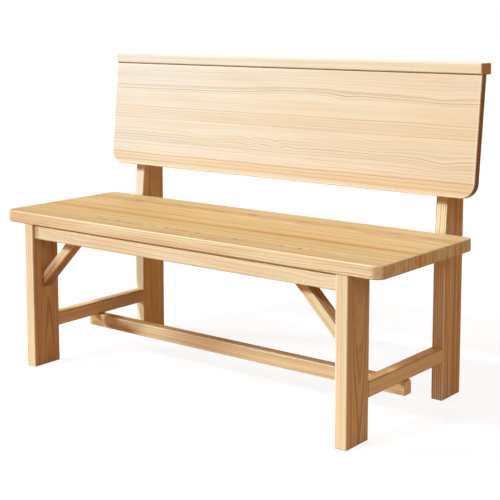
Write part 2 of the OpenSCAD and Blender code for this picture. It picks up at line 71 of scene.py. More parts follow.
class Wire:
    """One output socket of a node tree. Sums on it add the Math nodes that they need."""

    def __init__(self, tree, socket=None):
        self.tree, self.socket = tree, socket

    def add(self, kind, settings, values, out=0):
        """Adds a node: its settings first, then the numbers or wires of its sockets."""
        shader = not kind.startswith(("Geometry", "Function", "NodeGroup"))
        node = self.tree.nodes.new("ShaderNode" + kind if shader else kind)
        for key, value in settings.items():
            setattr(node, key, value)
        for key, value in values.items():
            wires = value if isinstance(value, list) else [value]
            if isinstance(wires[0], Wire):
                for wire in wires:
                    self.tree.links.new(wire.socket, node.inputs[key])
            else:
                node.inputs[key].default_value = value
        return Wire(self.tree, node.outputs[out] if node.outputs else None)

    def sibling(self, out):
        """Another output of the same node."""
        return Wire(self.tree, self.socket.node.outputs[out])

    def math(self, operation, *values):
        return self.add("Math", {"operation": operation}, dict(enumerate(values)))

    def vector(self, operation, *values, out=0):
        return self.add("VectorMath", {"operation": operation}, dict(enumerate(values)), out)

    def __add__(self, other):
        return self.math("ADD", self, other)

    def __sub__(self, other):
        return self.math("SUBTRACT", self, other)

    def __mul__(self, other):
        return self.math("MULTIPLY", self, other)

    def __truediv__(self, other):
        return self.math("DIVIDE", self, other)

    def __rsub__(self, other):
        return self.math("SUBTRACT", other, self)

    def __rtruediv__(self, other):
        return self.math("DIVIDE", other, self)

    __radd__, __rmul__ = __add__, __mul__

    def __abs__(self):
        return self.math("ABSOLUTE", self)

    def least(self, other):
        return self.math("MINIMUM", self, other)

    def most(self, other):
        return self.math("MAXIMUM", self, other)

    def step(self, low, high):
        """Rises smoothly from 0 at low to 1 at high, or falls where low is the greater."""
        if low > high:
            return 1 - self.step(high, low)
        settings = {"interpolation_type": "SMOOTHSTEP"}
        return self.add("MapRange", settings, {0: self, 1: low, 2: high, 3: 0.0, 4: 1.0})

    def noise(self, stretch=(1, 1, 1), detail=2.0, out=0, rough=0.5):
        """Soft noise on this position, stretched to the given lengths along each axis."""
        place = self.vector("MULTIPLY", self, tuple(1 / s for s in stretch))
        values = {"Vector": place, "Scale": 1.0, "Detail": detail, "Roughness": rough}
        return self.add("TexNoise", {"noise_dimensions": "3D"}, values, out)

    def swing(self, texture, detail=2.0):
        """Soft noise about 0, from a pair of its lengths and the breadth of its swing."""
        stretch, breadth = texture
        return (self.noise(stretch, detail) - 0.5) * breadth

    def chance(self, out=0):
        """A number by chance for this number, or a colour where out is 1."""
        return self.add("TexWhiteNoise", {"noise_dimensions": "1D"}, {"W": self}, out)

    def joined(self, x, y, z):
        return self.add("CombineXYZ", {}, {0: x, 1: y, 2: z})

    def split(self):
        """The three parts of this vector."""
        first = self.add("SeparateXYZ", {}, {0: self})
        return [first.sibling(part) for part in range(3)]

    def length(self):
        return self.vector("LENGTH", self, out="Value")

    def dot(self, axis):
        return self.vector("DOT_PRODUCT", self, tuple(axis), out="Value")

    def between(self, low, high):
        """The colour at this share of the way from one colour to another."""
        settings = {"data_type": "RGBA", "clamp_factor": True}
        return self.add("Mix", settings, {0: self, 6: (*low, 1), 7: (*high, 1)}, 2)

    def mixed(self, other, share, blend="MIX"):
        """This colour with the given share of another."""
        settings = {"data_type": "RGBA", "blend_type": blend, "clamp_result": True}
        return self.add("Mix", settings, {0: share, 6: self, 7: (*other, 1.0)}, 2)

    def tinted(self, tint, share):
        return self.mixed(tint, share, "MULTIPLY")


def material(name, node=None):
    """An empty node material, put on a CAD node where one is named, and its first wire."""
    made = bpy.data.materials.new(name)
    made.use_nodes = True
    made.node_tree.nodes.clear()
    if node:
        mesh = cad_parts[node].data
        mesh.materials.clear()
        mesh.materials.append(made)
    return made, Wire(made.node_tree)


def surface(start, colour, rough, height, bump, depth, metal=0.0, level=0.5):
    """The shader that wood and metal end in."""
    normal = start.add("Bump", {}, {"Strength": bump, "Distance": depth, "Height": height})
    shader = start.add("BsdfPrincipled", {}, {
        "Base Color": colour, "Roughness": rough, "Normal": normal, "Metallic": metal,
        "Specular IOR Level": level})
    start.add("OutputMaterial", {}, {"Surface": shader})


def pine(node, centre, along, across, half, pith, seed, lean=(0, 0), ring=4.2, wander=9.0,
         early=(0.97, 0.82, 0.53), late=(0.55, 0.33, 0.15), depth=0.60, fine=0.60, bold=0.22,
         thin=0.34, patchy=0.4, blush=((1.0, 0.90, 0.76), 0.5), swells=(), bands=(),
         edge_bands=(), pips=None, broad=(1, 1, 1), sides=(1, 1, 1), ends=(0.84, 0.80, 0.74),
         calm=None, fade=None, fade_sides=False, hem=None, shift=0.0, corner=0.0, under=1.0,
         edge_light_shade=(1.0, 0.50, 0.45), glint=(1.0, 0.95, 0.80), end_glint=0.0, mottle=0.0):
    """Pine for one board, as the solid it was sawn from: growth rings round a pith that runs
    along the board, so that edges, ends and faces agree. Lengths are in millimetres from the
    board's centre, which is given in metres.

    half: half the length, width and thickness, for a glued-up board those of the whole
    shift, corner: how far across the whole the board lies, and the radius of the corners
    pith, lean, wander: where the pith lies, its slope along the board, how far it strays
    seed: the board's own number, which picks its part of every noise
    ring, early, late: a year's growth, its spring wood and its summer wood
    depth, fine, bold, patchy: how strongly rings, thin and broad lines and patches show
    thin: the share of a year that stays pale; blush: a tint in patches and its share
    swells: (along, across, reach, width, push) of each place where the rings bulge
    bands, edge_bands: (across, half width, share, tint) of lines on faces and on edges
    pips: (across, pitch, size, squat, from, to, share) of a row of short dark marks
    broad, sides, ends: tints of faces, edges and cut ends; mottle: light and dark on the ends
    calm: (colour, share) that evens out the edges
    fade: (tint, from, to, share) along the faces, and with fade_sides along the edges too
    hem: (across, half width, share, tint) of a line of painted shade along the board's border
    edge_light_shade: the width of the eased edges, the share of painted highlight on those that
    face the front, and the share of painted shade on those behind; under: 0 where those that
    face down take painted shade; glint, end_glint: the painted highlight's
    colour and its share round the ends"""
    start = material("pine_" + node, node)[1]
    along, across = Vector(along).normalized(), Vector(across).normalized()
    face_on = along.cross(across)
    turn = Matrix((along, across, face_on)).transposed().to_euler()
    coords = start.add("TexCoord", {}, {}, "Object")
    place = start.add("Mapping", {"vector_type": "TEXTURE"}, {
        0: coords, 1: centre, 2: turn, 3: (MM, MM, MM)})
    x, y, z = place.split()
    lot = place.vector("ADD", place, tuple(seed * far for far in LOT))

    # The pith wanders along the trunk, and the rings ripple a little
    sway = lot.noise(SWAY, 1.5, out=1).split()
    off_y = y - pith[0] - x * lean[0] + (sway[1] - 0.5) * wander
    off_z = z - pith[1] - x * lean[1] + (sway[2] - 0.5) * wander
    radius = start.joined(0.0, off_y, off_z).length() + lot.swing(RIPPLE)
    wave = lot.swing(BEND, 1.0) + lot.swing(WOBBLE, 1.0)
    for x_at, y_at, reach, width, push in swells:
        gap = start.math("POWER", (x - x_at) / reach, 2.0) + start.math(
            "POWER", (y - y_at) / width, 2.0)
        swell = start.math("EXPONENT", gap * -1.0) * push
        radius, wave = radius + swell, wave + swell

    # Each year: pale spring wood darkening into a thin line of summer wood
    slow = start.add("TexNoise", {"noise_dimensions": "1D"}, {
        "W": radius / SPELL + seed, "Scale": 1.0, "Detail": 1.0})
    years = radius / ring + slow * SPELL_YEARS
    year = start.math("FLOOR", years)
    through = years - year
    summer = through.step(thin, 0.88) * through.step(1.0, 0.92)
    luck = (year + seed * YEAR_LOT).chance()
    rings = summer * (FAINTEST_YEAR + (1 - FAINTEST_YEAR) * luck * luck)

    # Finer and bolder lines follow the rings; fibres and flecks follow the board
    lines = [start.joined(x / reach, radius / width, seed * LINE_LOT).noise(
        detail=detail, rough=0.6) for reach, width, detail in (FINE_LINES, BOLD_LINES)]
    grain = lot.noise(FIBRE, 3.0, rough=0.65)
    fleck = lot.noise(FLECK, 1.0).step(0.64, 0.76)
    drift = lot.noise(DRIFT)
    tone = (rings * depth + (lines[0] - 0.5) * fine + lines[1].step(0.50, 0.72) * bold
            + (grain - 0.5) * 0.25 + (drift - 0.5) * patchy)
    colour = (tone + 0.10).between(early, late)
    warm = lot.noise(WARMTH, out=1).split()[0]
    colour = colour.tinted(blush[0], warm.step(0.44, 0.66) * blush[1])
    for side, rows in ((y, bands), (z, edge_bands)):
        for at, width, share, tint in rows:
            reach = abs(side + wave - at).step(width, width * 0.25)
            colour = colour.tinted(tint, reach * share)
    if pips:
        at, pitch, size, squat, low, high, share = pips
        cell = x / pitch
        nearest = start.math("ROUND", cell)
        strength, shifts = (nearest + seed).chance(), (nearest - seed).chance(1).split()
        gap_x = (cell - nearest) * pitch + (shifts[0] - 0.5) * (0.5 * pitch)
        gap_y = y - at + (shifts[1] - 0.5) * (2.2 * size)
        spot = start.joined(gap_x * squat, gap_y, 0.0).length().step(size, size * 0.4)
        spot = spot * x.step(low - 1, low) * x.step(high, high - 1) * (0.5 + 0.5 * strength)
        colour = colour.mixed(PIP, spot * z.step(0, 8) * share)

    # Broad faces, narrow ones and cut ends take up the finish each in their own way
    normal = start.add("NewGeometry", {}, {}, "Normal")
    end = abs(normal.dot(along)).step(0.55, 0.9)
    flat = abs(normal.dot(face_on)).step(0.45, 0.9)
    edge = (1 - flat) * (1 - end)
    colour = colour.tinted(broad, flat)
    if calm:
        colour = colour.mixed(calm[0], edge * calm[1])
    if fade:
        tint, low, high, share = fade
        reach = x.step(low, high) * share
        colour = colour.tinted(tint, reach if fade_sides else reach * flat)
    # A line of painted shade along a border that another part overhangs
    if hem:
        at, width, share, tint = hem
        colour = colour.tinted(tint, abs(y - at).step(width, width * 0.3) * share)
    colour = colour.tinted(sides, edge).tinted(ends, end)

    # Eased edges: painted highlight where they face the front, painted shade where they face
    # back, and also where they face down when under is 0
    over_x = abs(x) - (half[0] - corner)
    over_y = abs(y + shift) - (half[1] - corner)
    past = start.joined(over_x.most(0.0), over_y.most(0.0), 0.0).length()
    inside = corner - past - over_x.most(over_y).least(0.0)
    rim = inside.most(half[2] - abs(z))
    arris = rim.step(EASED_NONE * edge_light_shade[0], EASED_FULL * edge_light_shade[0])
    facing = normal.split()
    bright = facing[1].step(-0.1, -0.45) * facing[2].step(-0.45 - under, -0.1 - under)
    # Round the ends, the upper eased edges take painted highlight too
    if end_glint:
        tip = abs(facing[0]).step(0.1, 0.45) * facing[2].step(0.2, 0.5) * end_glint
        bright = bright.most(tip)
    light = 1 + (grain - 0.5) * 0.12 - fleck * 0.08 + (drift - 0.5) * 0.10
    if mottle:
        light = light + (lot.noise(MOTTLE) - 0.5) * end * mottle
    colour = start.add("VectorMath", {"operation": "SCALE"}, {0: colour, "Scale": light})
    colour = colour.mixed(glint, arris * bright * edge_light_shade[1])
    colour = colour.mixed(EDGE_SHADE, arris * (1 - bright) * edge_light_shade[2])

    rough = ROUGH + rings * 0.08 + (grain - 0.5) * 0.18 + end * 0.12
    height = rings * 0.5 + grain * 0.8 - fleck * 0.5
    surface(start, colour, rough, height, BUMP, BUMP_DEPTH, level=GLOSS)


def stripes(lot, reach, count, width, share, tint):
    """Thin darker lines along a board, at chance places across it."""
    draw = random.Random(lot)
    return tuple((draw.uniform(-reach, reach), width * draw.uniform(0.7, 1.3),
                  share * draw.uniform(0.4, 1.0), tint) for _ in range(count))


pine("front_leg_left", (-LEG_X, -LEG_Y, FRONT_Z), half=FRONT_HALF, pith=(8, 30),
     lean=(0.01, 0.03), seed=1.0, fine=0.5, blush=LEG_BLUSH, broad=(0.70, 0.61, 0.54),
     bands=((18, 2.0, 0.5, STREAK), (26, 2.4, 0.6, STREAK), (-32, 2.4, 0.6, STREAK)), **LEG)
pine("front_leg_right", (LEG_X, -LEG_Y, FRONT_Z), half=FRONT_HALF, pith=(2, 24),
     lean=(0.02, -0.035), seed=2.0, depth=0.80, blush=LEG_BLUSH,
     swells=((112, 4, 16, 9, 1.8), (92, -6, 14, 8, -1.5), (70, 5, 14, 9, 1.8),
             (48, -3, 14, 8, -1.5), (28, 6, 16, 10, 1.8), (-110, -14, 90, 16, 4)),
     bands=((-24, 2.2, 0.5, STREAK), (30, 2.0, 0.4, STREAK)),
     broad=(0.87, 0.83, 0.75), calm=((0.87, 0.70, 0.45), 0.5), **LEG)
# The left post is paler below the seat: painted light that lifts the seat's shadow off it.
pine("rear_post_left", (-LEG_X, LEG_Y, POST_Z), half=POST_HALF, pith=(-30, 75),
     lean=(0.01, 0.01), seed=3.0, broad=(0.82, 0.72, 0.62), sides=(0.93, 1.02, 1.34),
     fade=((1.18, 1.24, 1.10), 10, -30, 1.0), fade_sides=True, **LEG)
pine("rear_post_right", (LEG_X, LEG_Y, POST_Z), half=POST_HALF, pith=(-34, 64),
     lean=(0.012, 0.005), seed=4.0, depth=0.7, ring=6.5,
     broad=(1.0, 0.95, 0.84), sides=(1.02, 1.12, 1.34), fade=((0.92, 0.78, 0.66), 20, 60, 0.8),
     bands=((22, 34, 0.9, (0.91, 0.79, 0.62)), (-20, 3, 0.6, STREAK), (4, 4, 0.6, STREAK),
            (-36, 3, 0.5, STREAK), (26, 3, 0.5, STREAK)),
     edge_bands=((13, 1.6, 1.0, STREAK), (7.5, 1.5, 0.7, STREAK), (1.5, 1.8, 1.0, STREAK),
                 (-5, 1.5, 0.8, STREAK), (-11, 1.8, 1.0, STREAK)), **LEG)

# Aprons: four rails of 22 mm pine board that tie the legs together right under the seat and
# carry it. The front and side ones are tenoned into the legs and posts, and the rear one is
# stub-tenoned into the side ones.
LENGTHWISE = {"along": (1, 0, 0), "across": (0, 0, 1)}
CROSSWISE = {"along": (0, 1, 0), "across": (0, 0, 1)}
FRONT_APRON_Y, FRONT_APRON_Z = -0.241, 0.372
REAR_APRON_Y, SIDE_APRON_X, LOW_APRON_Z = 0.144, 0.501, 0.3775
# The front apron's top edge takes a dark line under the seat's edge: painted shade.
pine("front_apron", (0, FRONT_APRON_Y, FRONT_APRON_Z), half=(500, 19, 11), pith=(-70, -12),
     lean=(-0.03, 0.0), seed=5.0, ring=3.6, depth=0.40, wander=16.0, early=(0.97, 0.83, 0.57),
     swells=((-400, 2, 22, 8, 5), (-320, -6, 30, 8, 4), (430, 4, 60, 14, 7)),
     blush=((0.98, 0.87, 0.76), 0.6), bands=stripes(5, 17, 7, 1.3, 0.6, (0.84, 0.72, 0.62)),
     hem=(19.5, 3.0, 1.0, (0.38, 0.31, 0.19)), **LENGTHWISE)
pine("rear_apron", (0, REAR_APRON_Y, LOW_APRON_Z), half=(500, 13.5, 11), pith=(60, 10),
     seed=6.0, **LENGTHWISE)
for side, node in ((-1, "side_apron_left"), (1, "side_apron_right")):
    pine(node, (side * SIDE_APRON_X, 0, LOW_APRON_Z), half=(180, 13.5, 11),
         pith=(-50, side * 20), seed=7.5 + side, **CROSSWISE)

# Stretchers: two low pine rails tenoned into each front leg and its post, and a long one under
# both of them, held at each end by a screw and a dowel.
SIDE_RAIL_X, SIDE_RAIL_Z = 0.505, 0.1165
LONG_RAIL_Y, LONG_RAIL_Z = -0.0045, 0.0805
SIDE_RAIL = {"half": (180, 18.5, 15), "depth": 0.5, "edge_light_shade": (1.2, 0.6, 0.7), **CROSSWISE}
pine("side_stretcher_left", (-SIDE_RAIL_X, 0, SIDE_RAIL_Z), pith=(-60, -18), seed=9.5,
     broad=(0.86, 0.84, 0.86), sides=(1.0, 0.92, 0.74), **SIDE_RAIL)
# The right stretcher's top and bottom are tinted darker than the left one's: painted shade from
# the seat above.
pine("side_stretcher_right", (SIDE_RAIL_X, 0, SIDE_RAIL_Z), pith=(-60, 18), seed=11.5,
     broad=(1.16, 1.18, 1.12), sides=(1.0, 0.85, 0.56),
     edge_bands=((-9, 2.0, 0.8, STREAK), (-1, 1.6, 0.6, STREAK), (7, 2.0, 0.8, STREAK)),
     **SIDE_RAIL)
# The long stretcher's top and bottom are tinted much darker, painted shade from the seat above,
# and its front and back a little darker, partly its own tone and partly painted shade.
pine("long_stretcher", (0, LONG_RAIL_Y, LONG_RAIL_Z), half=(523, 17.5, 15.5), pith=(-60, -20),
     lean=(0.02, 0.0), seed=13.0, ring=4.0, depth=0.5, wander=14.0, broad=(0.90, 0.87, 0.81),
     sides=(0.70, 0.53, 0.31), ends=(1.3, 1.28, 1.05), edge_light_shade=(1.2, 0.6, 0.6),
     bands=stripes(13, 16, 5, 1.5, 0.6, (0.84, 0.70, 0.56)), **LENGTHWISE)

# Knee braces: two short struts at 45 degrees that stiffen the front. They are cut square off a
# 26 mm pine strip, screwed to the back of the front apron and dowelled to the legs.
BRACE_X, BRACE_Y, BRACE_Z = 0.41, -0.2125, 0.30
BRACE = {"across": (0, 1, 0), "half": (130, 17.5, 13), "pith": (-50, 14), "ring": 3.4,
         "edge_light_shade": (1.0, 0.30, 0.45)}
BARK = (0.66, 0.46, 0.30)
# The left brace darkens towards its lower end: painted shadow of the front leg.
pine("knee_brace_left", (-BRACE_X, BRACE_Y, BRACE_Z), (1, 0, 1), seed=13.5,
     broad=(0.86, 0.74, 0.58), sides=(1.02, 0.99, 0.90),
     fade=((0.54, 0.37, 0.25), 50, -110, 1.0), fade_sides=True,
     bands=((-9, 2.0, 0.9, BARK), (-2, 1.6, 0.7, BARK), (9, 2.2, 0.9, BARK)),
     edge_bands=((8, 1.6, 0.8, BARK), (2, 1.2, 0.5, BARK), (-5, 1.4, 0.6, BARK)), **BRACE)
pine("knee_brace_right", (BRACE_X, BRACE_Y, BRACE_Z), (-1, 0, 1), seed=15.5,
     broad=(0.64, 0.56, 0.50), sides=(0.98, 1.02, 0.95),
     bands=((-15, 3.0, 0.9, BARK), (-4, 2.0, 0.7, BARK)),
     edge_bands=((6, 1.4, 0.5, BARK), (-2, 1.2, 0.4, BARK)), **BRACE)

# Seat: five pine boards glued edge to edge, 31 mm thick, with rounded corners and eased edges.
# Each board comes from its own plank, so the seat's ends show five patterns of rings.
SEAT_Y, SEAT_Z, SEAT_TOP = -0.047, 0.4065, 0.422
STAVE_Y = (-0.2235, -0.150, -0.0685, 0.0165, 0.1115)
SEAT = {"along": (1, 0, 0), "across": (0, 1, 0), "half": (600, 210, 15.5), "corner": 24,
        "early": (0.99, 0.87, 0.53), "late": (0.63, 0.41, 0.17), "patchy": 0.9, "mottle": 1.2,
        "broad": (0.785, 0.68, 0.59), "sides": (0.95, 0.90, 0.93), "ends": (1.12, 1.12, 1.19),
        "fade": ((0.965, 0.93, 0.875), 570, 330, 1.0), "under": 0.0,
        "edge_light_shade": (1.0, 0.60, 0.30), "glint": (1.0, 0.92, 0.72), "end_glint": 0.6}
SHADE = (0.78, 0.66, 0.50)
GOLD = (0.94, 0.80, 0.58)
AMBER = (0.82, 0.66, 0.42)
TAN = (0.78, 0.64, 0.46)


def seat_stave(node, y, **looks):
    """One board of the seat, whose edges and corners are those of the whole seat."""
    pine(node, (0, y, SEAT_Z), shift=(y - SEAT_Y) / MM, **SEAT, **looks)


seat_stave("seat_stave_1", STAVE_Y[0], pith=(27, -42), lean=(0, 0.008), seed=21.0, depth=0.9,
           ring=3.6, blush=((0.93, 0.82, 0.78), 0.9), pips=(29, 38, 7.0, 0.75, -330, 420, 1.0),
           bands=stripes(21, 32, 4, 5.0, 0.5, SHADE))
seat_stave("seat_stave_2", STAVE_Y[1], pith=(120, 20), seed=22.0,
           bands=stripes(22, 38, 5, 5.0, 0.6, SHADE))
seat_stave("seat_stave_3", STAVE_Y[2], pith=(-90, -10), seed=23.0,
           bands=((-16, 34, 0.7, GOLD), (-23, 12, 0.8, AMBER), (34, 5, 0.8, TAN))
           + stripes(23, 40, 3, 4.0, 0.5, SHADE))
seat_stave("seat_stave_4", STAVE_Y[3], pith=(36, -46), lean=(0, 0.035), seed=24.0,
           bands=stripes(24, 42, 4, 5.0, 0.5, SHADE))
seat_stave("seat_stave_5", STAVE_Y[4], pith=(-100, -30), seed=25.0,
           pips=(-22, 132, 8.0, 0.26, -520, 590, 0.9),
           bands=stripes(25, 50, 5, 6.0, 0.6, SHADE))

# Back panel: four pine boards glued edge to edge, 23.5 mm thick, with two rounded corners
# below. It leans back against the posts, and bolts from behind hold it.
TILT = math.radians(5.85)
POST_FRONT, PANEL_HALF_THICK, PANEL_MIDDLE = 0.170, 0.01175, 0.26875
STAVE_UP = (0.1135, 0.180, 0.2615, 0.34425)
BACK = {"along": (1, 0, 0), "across": (0, math.sin(TILT), math.cos(TILT)),
        "half": (600, 179.25, 11.75), "corner": 36, "late": (0.55, 0.39, 0.22), "fine": 0.22,
        "bold": 0.06, "thin": 0.58, "blush": ((0.98, 0.91, 0.80), 0.45),
        "ends": (0.475, 0.27, 0.12), "edge_light_shade": (1.9, 0.90, 0.35), "glint": (1.0, 0.90, 0.66)}
LINE = (0.72, 0.61, 0.47)
PALE = (1.03, 1.06, 1.12)


def on_slope(x, up, behind):
    """The place at a height up the sloping fronts of the posts and so far behind them."""
    return (x, POST_FRONT + up * math.sin(TILT) + behind * math.cos(TILT),
            SEAT_TOP + up * math.cos(TILT) - behind * math.sin(TILT))


def back_stave(node, up, tint, **looks):
    """One board of the panel, which takes on the tint towards its right end."""
    pine(node, on_slope(0, up, -PANEL_HALF_THICK), shift=(up - PANEL_MIDDLE) / MM,
         fade=(tint, -600, 600, 1.0), **BACK, **looks)


back_stave("back_stave_1", STAVE_UP[0], (0.94, 0.84, 0.72), pith=(-90, 30), ring=5.6, seed=31.0,
           depth=0.45, early=(0.94, 0.86, 0.74),
           bands=((-3, 24, 0.8, (0.96, 0.85, 0.69)), (11, 2.0, 0.8, LINE), (2, 1.6, 0.5, LINE),
                  (-9, 1.8, 0.6, LINE)))
back_stave("back_stave_2", STAVE_UP[1], (0.96, 0.85, 0.74), pith=(-64, -16), lean=(0, -0.02),
           seed=32.0, ring=4.6, wander=14.0, depth=0.35, early=(0.93, 0.87, 0.74),
           swells=((510, -14, 50, 22, 8), (-240, 14, 60, 20, 8), (320, 20, 70, 18, 7),
                   (-88, 6, 18, 12, 7), (-60, -2, 12, 9, -4), (6, 2, 16, 11, 7),
                   (46, -2, 12, 9, -4)),
           bands=((14, 1.3, 0.35, LINE), (6, 1.4, 0.5, LINE), (-3, 1.5, 0.8, LINE),
                  (-5.2, 1.1, 0.7, PALE), (-10, 1.4, 0.6, LINE), (-14, 1.1, 0.4, LINE),
                  (-18, 1.5, 0.7, LINE), (-20.2, 1.1, 0.7, PALE), (-29, 1.3, 0.35, LINE)))
back_stave("back_stave_3", STAVE_UP[2], (0.95, 0.845, 0.71), pith=(-150, 12), ring=5.0,
           seed=33.0, depth=0.25, early=(0.96, 0.88, 0.745),
           bands=((0, 1.4, 0.75, LINE), (-2.4, 1.2, 0.6, PALE), (-7, 1.3, 0.5, LINE),
                  (-12, 1.2, 0.4, LINE), (-17, 4.0, 0.5, (0.93, 0.79, 0.62)),
                  (-23, 1.3, 0.6, LINE), (-28, 1.2, 0.5, LINE), (-33, 1.3, 0.65, LINE),
                  (-35.4, 1.2, 0.6, PALE), (24, 1.2, 0.3, LINE)))
# The top board's upper edge takes a dark line under the cap rail: painted shade.
back_stave("back_stave_4", STAVE_UP[3], (0.945, 0.83, 0.69), pith=(-120, 20), ring=8.0,
           seed=34.0, depth=0.20, wander=22.0, early=(0.97, 0.92, 0.81),
           swells=((80, -22, 190, 26, -11), (500, -18, 40, 20, 5), (215, -26, 45, 14, 5)),
           bands=((-28, 1.6, 1.0, LINE), (-25.6, 1.2, 0.8, PALE), (-22, 1.2, 0.6, LINE),
                  (-18, 1.7, 0.9, LINE), (-15.6, 1.2, 0.8, PALE), (-34, 1.3, 0.4, LINE),
                  (12, 1.1, 0.25, LINE), (22, 1.2, 0.3, LINE)),
           hem=(43.4, 3.9, 1.0, (0.29, 0.24, 0.17)))

# Cap rail: a level pine rail on top of the panel and the posts, held by dowels. A shallow
# groove under its front edge draws a dark line along the joint, deepened by painted shade on
# the panel's top edge.
CAP_Y, CAP_Z = 0.2079, 0.822
pine("cap_rail", (0, CAP_Y, CAP_Z), along=(1, 0, 0), across=(0, 1, 0), half=(600, 25, 14),
     pith=(70, 40), seed=41.0, early=(0.98, 0.955, 0.83), late=(0.66, 0.52, 0.34), depth=0.30,
     fine=0.4, bold=0.1, fade=((0.97, 0.87, 0.74), -600, 600, 1.0), fade_sides=True,
     ends=(0.86, 0.62, 0.42))

# Screws, bolts, washers and insert nuts of zinc-plated steel: pan-head screws come up through
# the aprons and long stretcher, countersunk ones hold the braces, and socket-head bolts run
# through washers and posts into threaded, brass-coloured inserts in the panel.
PATCH, GRIT = (0.004, 0.004, 0.004), (0.0006, 0.0006, 0.0006)
DULLER = 0.7
TURNED_SIDES, SHARP_ANGLE = 36, 0.6
COIL_STEPS, RUN_OUT, THREAD_TIP = 24, 16.0, 0.05
DRIVE_SEED = 5


def metal(name, tint, rough):
    """Plated steel with patches a little duller and darker than the rest."""
    made, start = material(name)
    place = start.add("TexCoord", {}, {}, "Object")
    wear = place.noise(PATCH, 3.0)
    colour = (wear.step(0.35, 0.7) * 0.5).between(tint, tuple(DULLER * t for t in tint))
    surface(start, colour, rough + (wear - 0.5) * 0.25, place.noise(GRIT), bump=0.2,
            depth=0.0001, metal=1.0)
    return made


def lathe(name, outline):
    """A turned blank from an outline of (radius, height) in metres, taken round Z. It runs from
    pole to pole, or closes on itself round a hole where it starts off the axis."""
    verts, rows, faces = [], [], []
    for radius, height in outline:
        count = TURNED_SIDES if radius else 1
        rows.append([len(verts) + k for k in range(count)])
        verts += [(radius * math.cos(math.tau * k / count),
                   radius * math.sin(math.tau * k / count), height) for k in range(count)]
    pairs = list(zip(rows, rows[1:]))
    if outline[0][0]:
        pairs.append((rows[-1], rows[0]))
    for low, high in pairs:
        for k in range(TURNED_SIDES):
            n = (k + 1) % TURNED_SIDES
            if len(low) == 1:
                faces.append((low[0], high[n], high[k]))
            elif len(high) == 1:
                faces.append((low[k], low[n], high[0]))
            else:
                faces.append((low[k], low[n], high[n], high[k]))
    mesh = bpy.data.meshes.new(name)
    mesh.from_pydata(verts, [], faces)
    made = bpy.data.objects.new(name, mesh)
    bpy.context.scene.collection.objects.link(made)
    return made


